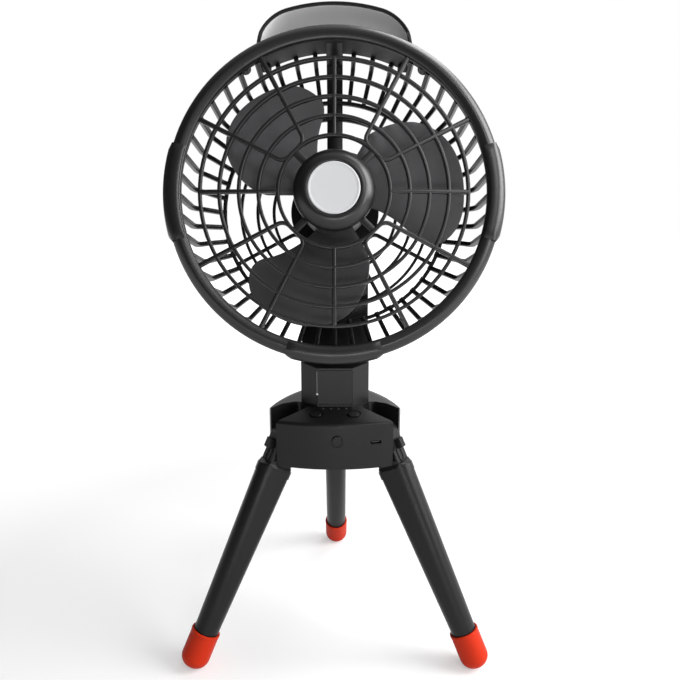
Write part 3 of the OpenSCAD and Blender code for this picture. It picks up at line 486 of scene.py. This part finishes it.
# the broad spine from the panel over the shoulder to the middle plate
def addSpine(shape):
    wall, rear, side = head["wall"], head["rearRadius"], head["sideDepth"]
    # depth and height of the middle line, then how far its outer face looks backward and up
    line = [(12, wall - 1.6, 0, 1), (30, wall - 1.6, 0, 1), (side - 3.5, wall - 1.7, 0, 1),
            (side - 0.5, wall - 3, 0.5, 1), (61, rear + 1.2, 1, 0.5), (62.8, rear - 2, 1, 0),
            (62.9, 50, 1, 0), (62.9, guard["plateRadius"] - 1, 1, 0)]
    path = [Vector((0, depth, up)) for depth, up, backShare, upShare in line]
    facing = [Vector((0, backShare, upShare)) for depth, up, backShare, upShare in line]
    swept(shape, roundedBox(guard["spineWidth"], guard["spineThick"], guard["spineCorner"], 2),
          alongPath(path, facing))


# bosses at the shoulders, with round ends, and the two ears that hold the handle
def addBossesAndEars(shape):
    boss, ear = guard["boss"], guard["ear"]
    circle = [2 * math.pi * k / boss["sides"] for k in range(boss["sides"])]
    bossOutline = [(boss["radius"] * math.cos(a), boss["radius"] * math.sin(a)) for a in circle]
    arch = [math.radians(a) for a in range(0, 181, ear["step"])]
    earOutline = [(ear["radius"] * math.cos(a), ear["radius"] * math.sin(a)) for a in arch]
    earOutline += [(-ear["footHalf"], -ear["foot"]), (ear["footHalf"], -ear["foot"])]
    lying = Matrix(((0, 0, 1), (1, 0, 0), (0, 1, 0))).to_4x4()
    for end in (-1, 1):
        centre = polar(boss["out"], 90 + end * boss["turn"], 0)
        swept(shape, bossOutline, [Matrix.Translation(centre + toBack * depth)
                                   @ Matrix.Rotation(math.radians(90), 4, "X") @ Matrix.Scale(grow, 4)
                                   for depth, grow in boss["ends"]])
        x = end * (strap["pivotX"] - ear["middle"])
        swept(shape, earOutline, [Matrix.Translation((x + across, strap["pivotDepth"], strap["pivotUp"]))
                                  @ lying @ Matrix.Diagonal((grow, grow, 1, 1))
                                  for across, grow in ear["ends"]])


def makeRearGuard():
    shape = bmesh.new()
    wall, rearDepth = head["wall"], head["rearDepth"]
    addSlats(shape)
    # the ring that seats behind the front one, then the flat back's rim and hoops
    turned(shape, [(wall + x, depth) for x, depth in guard["ringOutline"]], guard["ringSteps"])
    hoops = [(head["rearRadius"], guard["rimWidth"])]
    hoops += [(radius, guard["hoopWidth"]) for radius in guard["hoops"]]
    for radius, width in hoops:
        section = roundedBox(width, guard["hoopDepth"], guard["hoopCorner"])
        turned(shape, [(radius + x, rearDepth - guard["hoopSink"] + y) for x, y in section],
               guard["hoopSteps"])
    # four bent double spokes join the hoops to the middle plate
    for quarter in range(4):
        path = diagonalLoop(90 * quarter + 45, guard["loop"], lambda radius: rearDepth - guard["spokeSink"])
        swept(shape, roundedBox(guard["spokeWidth"], guard["spokeDepth"], guard["hoopCorner"]),
              alongPath(path, toBack))
    # solid middle plate with the motor's rim
    plate, edge, front = guard["plateRadius"], guard["plateEdge"], rearDepth - guard["plateThick"]
    turned(shape, [(0, front), (plate - edge, front), (plate, front + edge), (plate, rearDepth - edge),
                   (plate - edge, rearDepth), (0, rearDepth)], guard["plateSteps"])
    turned(shape, guard["motorRim"], guard["motorRimSteps"])
    # closed panel at the top of the side wall
    front, end, half = guard["panelFront"], guard["panelEnd"], guard["panelHalf"]
    turned(shape, [(wall - 2.4, front), (wall - 0.2, front), (wall - 0.2, end - 0.5), (wall - 0.7, end),
                   (wall - 1.9, end), (wall - 2.4, end - 0.5)], guard["panelSteps"], (90 - half, 90 + half))
    addSpine(shape)
    addBossesAndEars(shape)
    finishPiece("rearGuard", shape, onHead, "head", "black_plastic", ("rear_guard",), 40)


strap = {"pivotDepth": 25.4, "pivotUp": 91.3, "pivotX": 47.66, "thick": 2.4, "width": 27, "armHalf": 4.6,
         "armRise": 11.5, "armCurve": 0.8, "top": 122.4, "archRadius": 98, "archSteps": 7,
         "cornerRadius": 28.2, "cornerInset": 0.1, "cornerDrop": 3, "cornerSteps": 14,
         "footStep": 2, "footLeast": 0.3}
# the sheet of painted reflection under the strap: where it starts above the pivot, how much narrower it is,
# its gap and its outline
reflectionSheet = {"from": 5, "narrower": 1.1, "gap": 0.05,
          "outline": [(-1, 0.5), (-1, -0.12), (-0.96, -0.3), (0.96, -0.3), (1, -0.12), (1, 0.5)]}


# outer line of the strap as seen from the front, from its left foot over the top to its right foot
def strapLine():
    edge = strap["pivotX"] + strap["thick"]
    radius = strap["cornerRadius"] - strap["cornerInset"]
    cornerX = edge - radius
    cornerUp = strap["top"] - strap["cornerDrop"] - strap["cornerRadius"]
    archCentre = strap["top"] - strap["archRadius"]
    half = [Vector((edge, strap["pivotUp"] - strap["armHalf"])),
            Vector((edge, strap["pivotUp"] - strap["footStep"])), Vector((edge, cornerUp))]
    # the corner's arc turns until it meets the arch
    meeting = math.atan2(cornerUp - archCentre, cornerX)
    for i in range(1, strap["cornerSteps"] + 1):
        angle = meeting * i / strap["cornerSteps"]
        half.append(Vector((cornerX + radius * math.cos(angle), cornerUp + radius * math.sin(angle))))
    last = half[-1]
    lift = last.y - (archCentre + math.sqrt(strap["archRadius"] ** 2 - last.x ** 2))
    for i in range(1, strap["archSteps"] + 1):
        left = 1 - i / strap["archSteps"]
        x = last.x * left
        arch = archCentre + math.sqrt(strap["archRadius"] ** 2 - x * x)
        half.append(Vector((x, arch + lift * left ** 2)))
    return [Vector((-p.x, p.y)) for p in half[:-1]] + half[::-1]


# half width of the strap at a height: a round foot, a slanting arm, then the full width
def strapHalf(up):
    above = up - strap["pivotUp"]
    full = strap["width"] / 2
    if above < 0:
        return math.sqrt(max(strap["footLeast"], strap["armHalf"] ** 2 - above ** 2))
    slant = min(1, above / strap["armRise"]) ** strap["armCurve"]
    return min(full, strap["armHalf"] + (full - strap["armHalf"]) * slant)


# places along the strap, so far under its outer line, from a height up; a section is drawn in units of
# the half width across and of "thick" through the strap
def strapStations(under, lowest, narrower, thick):
    line = strapLine()
    stations = []
    for i, point in enumerate(line):
        if point.y < lowest:
            continue
        ahead = (line[min(i + 1, len(line) - 1)] - line[max(i - 1, 0)]).normalized()
        normal = Vector((-ahead.y, ahead.x))
        centre = point - normal * under
        turn = Matrix(((0, normal.x, ahead.x), (1, 0, 0), (0, normal.y, ahead.y))).to_4x4()
        stations.append(Matrix.Translation((centre.x, strap["pivotDepth"], centre.y)) @ turn
                        @ Matrix.Diagonal((strapHalf(point.y) - narrower, thick, 1, 1)))
    return stations


def makeHandle():
    shape = bmesh.new()
    half = strap["thick"] / 2
    # a raised bead runs along both edges of the inner side, which has y below 0
    section = [(-1, -0.72), (-0.985, -0.95), (-0.95, -1), (-0.9, -0.9), (-0.86, -0.62), (0.86, -0.62),
               (0.9, -0.9), (0.95, -1), (0.985, -0.95), (1, -0.72), (1, 0.6), (0.97, 0.92), (0.92, 1),
               (-0.92, 1), (-0.97, 0.92), (-1, 0.6)]
    swept(shape, section, strapStations(half, 0, 0, half))
    finishPiece("carryHandle", shape, onHead, "bail", "black_plastic", ("handle",), 40)


# painted reflection: a pale grey sheet along the inner side of the strap, standing in for the bright room
# seen in its underside
def makeHandleReflection():
    shape = bmesh.new()
    stations = strapStations(strap["thick"] + reflectionSheet["gap"], strap["pivotUp"] + reflectionSheet["from"],
                             reflectionSheet["narrower"], 1)
    swept(shape, reflectionSheet["outline"], stations)
    finishPiece("paintedReflectionLining", shape, onHead, "bail", None, (), 40, finish="painted_reflection_grey")


makeRearGuard()
makeHandle()
makeHandleReflection()
print("rear guard and handle done")

rotor = {"blades": 3, "phase": 20, "root": 20.5, "leadRadius": 68, "trailRadius": 75, "thick": 1.9,
         "edge": 0.75, "camber": 1.5,
         "lead": {"angle": 40, "bendAt": 42, "slope": 0.5, "curve": 0.006},
         "trail": {"angle": -24, "from": 20, "slope": 0.48, "bendAt": 56, "pastSlope": 0.62,
                   "curve": 0.037},
         "tip": {"radius": 84.3, "angle": -18, "leadFall": 2.36e-4, "trailFall": 8.9e-4},
         "front": 8, "depth": 30, "turn": 84, "first": -44, "nearest": 9.2, "deepest": 36.8,
         "hub": 22, "hubWall": 2, "hubBack": 38, "bush": 5, "bushBack": 19, "bore": 2.02, "hubSteps": 96,
         "hubFloor": 3.4, "acrossSteps": 26, "outSteps": 30, "rimAngle": 1, "edgeSegments": 3}


# front view of one blade: its leading and trailing edges as angles at a radius, and its round tip as a
# radius at an angle, all about the blade's own middle
def bladeLead(radius):
    lead = rotor["lead"]
    past = max(0, radius - lead["bendAt"])
    return lead["angle"] - lead["slope"] * past - lead["curve"] * past * past


def bladeTrail(radius):
    trail = rotor["trail"]
    past = max(0, radius - trail["bendAt"])
    return (trail["angle"] - trail["slope"] * (min(radius, trail["bendAt"]) - trail["from"])
            - trail["pastSlope"] * past + trail["curve"] * past * past)


def bladeTip(angle):
    tip = rotor["tip"]
    past = angle - tip["angle"]
    return tip["radius"] - (tip["leadFall"] * past ** 3 if past > 0 else tip["trailFall"] * (-past) ** 3)


# a blade is a part of a screw: its depth falls evenly from the trailing to the leading edge
def bladeDepth(angle):
    deep = rotor["front"] + rotor["depth"] - rotor["depth"] * (angle - rotor["first"]) / rotor["turn"]
    return min(rotor["deepest"], max(rotor["nearest"], deep))


def makeBlade(turn):
    blade = bmesh.new()
    root, leadEnd, trailEnd = rotor["root"], rotor["leadRadius"], rotor["trailRadius"]
    bmesh.ops.create_grid(blade, x_segments=rotor["acrossSteps"], y_segments=rotor["outSteps"], size=0.5)
    for vertex in blade.verts:
        across, out = vertex.co.x + 0.5, vertex.co.y + 0.5
        leadRadius = root + (leadEnd - root) * out
        trailRadius = root + (trailEnd - root) * out
        endAngle = bladeTrail(trailEnd) * (1 - across) + bladeLead(leadEnd) * across
        bulge = bladeTip(endAngle) - trailEnd * (1 - across) - leadEnd * across
        radius = trailRadius * (1 - across) + leadRadius * across + bulge * out ** 2
        angle = bladeTrail(trailRadius) * (1 - across) + bladeLead(leadRadius) * across
        camber = rotor["camber"] * math.sin(math.pi * across) * out
        vertex.co = polar(radius, turn + angle, bladeDepth(angle) - camber)
    bmesh.ops.recalc_face_normals(blade, faces=blade.faces)
    bmesh.ops.solidify(blade, geom=blade.faces[:], thickness=rotor["thick"])
    # only the rim has edges that turn by more than rimAngle, in radians
    rim = [edge for edge in blade.edges
           if len(edge.link_faces) == 2 and edge.calc_face_angle(0) > rotor["rimAngle"]]
    bmesh.ops.bevel(blade, geom=rim, offset=rotor["edge"], segments=rotor["edgeSegments"], profile=0.5,
                    affect="EDGES", material=-1, clamp_overlap=True)
    mesh = bpy.data.meshes.new("blade")
    blade.to_mesh(mesh)
    blade.free()
    return mesh


def makeRotor():
    shape = bmesh.new()
    for i in range(rotor["blades"]):
        shape.from_mesh(makeBlade(rotor["phase"] + i * 360 / rotor["blades"]))
    hub, front, back = rotor["hub"], rotor["front"], rotor["hubBack"]
    inside, floorDepth = hub - rotor["hubWall"], front + rotor["hubFloor"]
    turned(shape, [(0, front), (hub - 3.5, front), (hub - 1.6, front + 0.5), (hub - 0.5, front + 1.6),
                   (hub, floorDepth), (hub, back - 0.4), (hub - 0.4, back), (hub - 1.6, back),
                   (inside, back - 0.4), (inside, floorDepth), (rotor["bush"], floorDepth),
                   (rotor["bush"], rotor["bushBack"]), (rotor["bore"], rotor["bushBack"]),
                   (rotor["bore"], front + 1), (0, front + 1)], rotor["hubSteps"])
    finishPiece("fanBlades", shape, onHead, "rotor", "charcoal_plastic", ("fan_blades",), 45)


makeRotor()
print("rotor done")

# the post is a little wider than its solids
postWiden = 1.05
# node, body, slot, rounding in millimetres and widening
softCopies = [
    ("base_shell", "stand", "black_plastic", 0.35, 1),
    ("base_tray", "stand", "black_plastic", 0.3, 1),
    ("post_housing", "stand", "black_plastic", 0.8, postWiden),
    ("post_cover", "stand", "black_plastic", 0.25, postWiden),
    ("tilt_caps", "stand", "charcoal_plastic", 0.4, postWiden),
    ("motor_cover", "head", "black_plastic", 0.4, 1),
    ("left_button", "left_key", "black_plastic", 0.35, 1),
    ("right_button", "right_key", "black_plastic", 0.35, 1),
    ("power_button", "power_key", "black_plastic", 0.35, 1),
]
for node, body, slot, width, widen in softCopies:
    softened(node, body, slot, width, widen)

postSeamHighlight = {"inward": 0.15, "sink": 0.25, "foot": 7.6, "top": 0.6, "width": 0.5, "depth": 0.7,
            "corner": 0.22, "dotRadius": 0.85, "dotFlat": 0.7, "dotOut": 0.1}


# painted highlight: a fine pale bead down the post's left bevel, where light catches the edge, ending in a
# bright dot
def makePostSeamHighlight():
    low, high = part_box("post_cover")
    shape = bmesh.new()
    x, y = low[0] * 1000 * postWiden - postSeamHighlight["inward"], low[1] * 1000 + postSeamHighlight["sink"]
    bottom, top = low[2] * 1000 + postSeamHighlight["foot"], high[2] * 1000 - postSeamHighlight["top"]
    swept(shape, roundedBox(postSeamHighlight["width"], postSeamHighlight["depth"], postSeamHighlight["corner"], 2),
          [Matrix.Translation((x, y, bottom)), Matrix.Translation((x, y, top))])
    finishPiece("postSeamHighlight", shape, toMetres, "stand", None, (), 50, finish="seam_highlight_grey")
    dot = bmesh.new()
    place = Matrix.Translation((x, y - postSeamHighlight["dotOut"], bottom))
    bmesh.ops.create_uvsphere(dot, u_segments=20, v_segments=12, radius=postSeamHighlight["dotRadius"],
                              matrix=place @ Matrix.Diagonal((1, postSeamHighlight["dotFlat"], 1, 1)))
    finishPiece("postSeamDot", dot, toMetres, "stand", None, (), 50, finish="dot_pale")


makePostSeamHighlight()
print("stand done")

foot = {"tube": 8.7, "tubeTop": -141, "tubeInside": 6, "steps": 64,
        "rim": -146.4, "inside": 7, "radius": 9.9, "corner": 7.6, "end": -172.2, "lip": 0.25,
        "mergeGap": 0.001, "aboveFloor": 0.00004, "cutTolerance": 1e-7}


# the rubber cap: a raised lip, straight sides and a round end that is worn flat where it stands
def makeLegEnd(side, turn):
    place = onLeg(turn) @ Matrix.Rotation(math.radians(90), 4, "X")
    shape = bmesh.new()
    radius, lip, corner = foot["radius"], foot["lip"], foot["corner"]
    rim, end, tubeRadius = foot["rim"], foot["end"], foot["tube"]
    outline = [(foot["inside"], rim - 2), (tubeRadius + 0.15, rim - 0.6), (tubeRadius + 0.3, rim - 0.1),
               (radius - 0.3, rim), (radius + lip * 0.7, rim - 0.25), (radius + lip, rim - 0.8),
               (radius + lip, rim - 1.5), (radius + 0.05, rim - 2.1), (radius, rim - 2.6)]
    for degrees in range(0, 91, 9):
        angle = math.radians(degrees)
        outline.append((radius - corner + corner * math.cos(angle), end + corner - corner * math.sin(angle)))
    turned(shape, outline + [(0, end), (0, rim - 2)], foot["steps"])
    bmesh.ops.remove_doubles(shape, verts=shape.verts, dist=foot["mergeGap"])
    # what reaches below the floor is cut off, in the piece's own place
    bmesh.ops.transform(shape, matrix=place, verts=shape.verts)
    cut = bmesh.ops.bisect_plane(shape, geom=shape.verts[:] + shape.edges[:] + shape.faces[:],
                                 dist=foot["cutTolerance"], plane_co=(0, 0, foot["aboveFloor"]),
                                 plane_no=(0, 0, 1), clear_inner=True)["geom_cut"]
    bmesh.ops.holes_fill(shape, edges=[part for part in cut if isinstance(part, bmesh.types.BMEdge)],
                         sides=0)
    bmesh.ops.transform(shape, matrix=place.inverted(), verts=shape.verts)
    finishPiece("footCap_" + side, shape, place, side + "_leg", "orange_rubber", ("foot_" + side,), 50)
    # the tube's end, where it goes into the cap
    tube = bmesh.new()
    inside, top = foot["tubeInside"], foot["tubeTop"]
    turned(tube, [(inside, top), (tubeRadius, top), (tubeRadius, rim - 1.4), (inside, rim - 1.6)],
           foot["steps"])
    finishPiece("legEnd_" + side, tube, place, side + "_leg", "black_plastic", (), 50)


neckLoop = {"face": 7.45, "across": -0.4, "down": -16.2, "halfLong": 2.6, "radius": 2.7, "bead": 0.85,
            "corner": 0.38, "steps": 24}


# a thin raised loop on the outer face of the neck: two half circles and the two straights between them
def makeNeckLoop(side, turn):
    shape = bmesh.new()
    path = []
    for k in range(neckLoop["steps"]):
        angle = 2 * math.pi * (k + 0.5) / neckLoop["steps"]
        shift = math.copysign(neckLoop["halfLong"], math.sin(angle))
        path.append(Vector((neckLoop["face"], neckLoop["across"] + neckLoop["radius"] * math.cos(angle),
                            neckLoop["down"] + shift + neckLoop["radius"] * math.sin(angle))))
    stations = alongPath(path, Vector((1, 0, 0)), closed=True)
    section = roundedBox(neckLoop["bead"], neckLoop["bead"], neckLoop["corner"], 2)
    swept(shape, section, stations + stations[:1])
    # the sweep ends where it began, so its two many-sided caps go
    caps = [face for face in shape.faces if len(face.verts) > 4]
    bmesh.ops.delete(shape, geom=caps, context="FACES")
    finishPiece("neckLoop_" + side, shape, onLeg(turn), side + "_leg", "black_plastic", (), 60)


# each leg's direction, counterclockwise from the right as seen from above
for side, turn in (("left", 210), ("right", 330), ("rear", 90)):
    softened("leg_" + side, side + "_leg", "black_plastic", 0.5)
    makeLegEnd(side, turn)
    makeNeckLoop(side, turn)
print("legs done")

# glow: how bright the floor looks near the object and away from it, at these distances in metres
# room: the light that the white room gives; the mirror values are what gloss sees of it, from the dark
# side to the bright one along "towards"
studio = {"floor": 0.6, "floorRough": 0.9, "floorHalf": 6, "floorBack": 2,
          "glowNear": 0.42, "glowFar": 1.2, "nearEnd": 0.3, "farStart": 1.1,
          "room": 0.24, "mirrorBright": 1.0, "mirrorDark": 0.1, "towards": (0.88, 0.25, 0.4),
          "darkEnd": -0.4, "brightStart": 0.7}


def newNode(tree, kind, operation=None):
    node = tree.nodes.new(kind)
    if operation:
        node.operation = operation
    return node


# true for what is seen directly, in a mirror or through glass
def seenRays(tree, names):
    rays = newNode(tree, "ShaderNodeLightPath")
    either = rays.outputs[names[0]]
    for name in names[1:]:
        joined = newNode(tree, "ShaderNodeMath", "MAXIMUM")
        tree.links.new(either, joined.inputs[0])
        tree.links.new(rays.outputs[name], joined.inputs[1])
        either = joined.outputs[0]
    return either


# the floor glows a little where it is seen, and more away from the object, so that only a shadow darkens it
def makeFloorMaterial():
    material, tree = newMaterial("floor")
    shader = tree.nodes["Principled BSDF"]
    shader.inputs["Base Color"].default_value = (studio["floor"], studio["floor"], studio["floor"], 1)
    shader.inputs["Roughness"].default_value = studio["floorRough"]
    shader.inputs["Specular IOR Level"].default_value = 0
    place = newNode(tree, "ShaderNodeTexCoord")
    far = newNode(tree, "ShaderNodeVectorMath", "LENGTH")
    tree.links.new(place.outputs["Object"], far.inputs[0])
    reach = newNode(tree, "ShaderNodeMapRange")
    reach.inputs["From Min"].default_value = studio["nearEnd"]
    reach.inputs["From Max"].default_value = studio["farStart"]
    reach.inputs["To Min"].default_value = studio["glowNear"]
    reach.inputs["To Max"].default_value = studio["glowFar"]
    tree.links.new(far.outputs["Value"], reach.inputs["Value"])
    shown = newNode(tree, "ShaderNodeMath", "MULTIPLY")
    tree.links.new(reach.outputs["Result"], shown.inputs[0])
    seen = seenRays(tree, ("Is Camera Ray", "Is Transmission Ray", "Is Glossy Ray"))
    tree.links.new(seen, shown.inputs[1])
    glow = newNode(tree, "ShaderNodeEmission")
    tree.links.new(shown.outputs[0], glow.inputs["Strength"])
    both = newNode(tree, "ShaderNodeAddShader")
    tree.links.new(shader.outputs[0], both.inputs[0])
    tree.links.new(glow.outputs[0], both.inputs[1])
    tree.links.new(both.outputs[0], tree.nodes["Material Output"].inputs["Surface"])
    return material


def makeFloor():
    shape = bmesh.new()
    bmesh.ops.create_grid(shape, x_segments=1, y_segments=1, size=studio["floorHalf"],
                          matrix=Matrix.Translation((0, studio["floorBack"], 0)))
    mesh = bpy.data.meshes.new("floor")
    shape.to_mesh(mesh)
    shape.free()
    mesh.materials.append(makeFloorMaterial())
    floor = bpy.data.objects.new("floor", mesh)
    bpy.context.scene.collection.objects.link(floor)


def roomLight(tree, strength):
    light = newNode(tree, "ShaderNodeBackground")
    light.inputs["Color"].default_value = (1, 1, 1, 1)
    light.inputs["Strength"].default_value = strength
    return light


# a white room for the eye, a dim one for the light it gives; in gloss it is bright on one side
def makeRoom():
    world = bpy.data.worlds.new("studio")
    bpy.context.scene.world = world
    world.use_nodes = True
    tree = world.node_tree
    given = roomLight(tree, studio["room"])
    bright = roomLight(tree, 1)
    mirrored = roomLight(tree, 1)
    place = newNode(tree, "ShaderNodeTexCoord")
    lean = newNode(tree, "ShaderNodeVectorMath", "DOT_PRODUCT")
    lean.inputs[1].default_value = studio["towards"]
    tree.links.new(place.outputs["Generated"], lean.inputs[0])
    fade = newNode(tree, "ShaderNodeMapRange")
    fade.interpolation_type = "SMOOTHSTEP"
    fade.inputs["From Min"].default_value = studio["darkEnd"]
    fade.inputs["From Max"].default_value = studio["brightStart"]
    fade.inputs["To Min"].default_value = studio["mirrorDark"]
    fade.inputs["To Max"].default_value = studio["mirrorBright"]
    tree.links.new(lean.outputs["Value"], fade.inputs["Value"])
    tree.links.new(fade.outputs["Result"], mirrored.inputs["Strength"])
    inGloss = newNode(tree, "ShaderNodeMixShader")
    tree.links.new(seenRays(tree, ("Is Glossy Ray",)), inGloss.inputs["Fac"])
    tree.links.new(given.outputs[0], inGloss.inputs[1])
    tree.links.new(mirrored.outputs[0], inGloss.inputs[2])
    mix = newNode(tree, "ShaderNodeMixShader")
    tree.links.new(seenRays(tree, ("Is Camera Ray", "Is Transmission Ray")), mix.inputs["Fac"])
    tree.links.new(inGloss.outputs[0], mix.inputs[1])
    tree.links.new(bright.outputs[0], mix.inputs[2])
    tree.links.new(mix.outputs[0], tree.nodes["World Output"].inputs["Surface"])


def areaLight(name, place, target, size, power):
    light = bpy.data.lights.new(name, "AREA")
    light.shape = "RECTANGLE"
    light.size, light.size_y = size
    light.energy = power
    lamp = bpy.data.objects.new(name, light)
    lamp.location = place
    lamp.rotation_euler = (Vector(target) - Vector(place)).to_track_quat("-Z", "Y").to_euler()
    bpy.context.scene.collection.objects.link(lamp)


makeFloor()
makeRoom()
# name, place, what it points at, width and height, watts
lamps = [
    ("keyRight", (0.98, -0.15, 0.8), (0, 0, 0.25), (0.6, 0.9), 16),
    ("frontHigh", (0.45, -0.95, 0.95), (0, 0, 0.3), (0.4, 0.4), 3),
    ("frontRight", (0.98, -0.68, 0.5), (0, 0, 0.32), (0.3, 0.6), 3.8),
    ("frontLow", (0.1, -1.0, 0.12), (0, -0.05, 0.46), (0.5, 0.12), 1.7),
    ("top", (0.45, 0.3, 1.2), (0, 0, 0.2), (0.6, 0.5), 5.5),
]
for name, place, target, size, power in lamps:
    areaLight(name, place, target, size, power)

# where the eye stands from the stand's axis, how far it looks down, and the lens by the picture's pixels
view = {"right": 0.0036, "back": 0.42, "up": 0.306, "down": 11.6, "focalPixels": 600, "framePixels": 680,
        "sensor": 36, "farthest": 30}
lens = bpy.data.cameras.new("camera")
lens.lens = view["sensor"] * view["focalPixels"] / view["framePixels"]
lens.clip_end = view["farthest"]
camera = bpy.data.objects.new("camera", lens)
camera.location = (view["right"], standAxis.y / 1000 - view["back"], view["up"])
camera.rotation_euler = (math.radians(90 - view["down"]), 0, 0)
bpy.context.scene.collection.objects.link(camera)
bpy.context.scene.camera = camera
bpy.context.scene.view_settings.view_transform = "Standard"
print("stage done")

saveBounds()
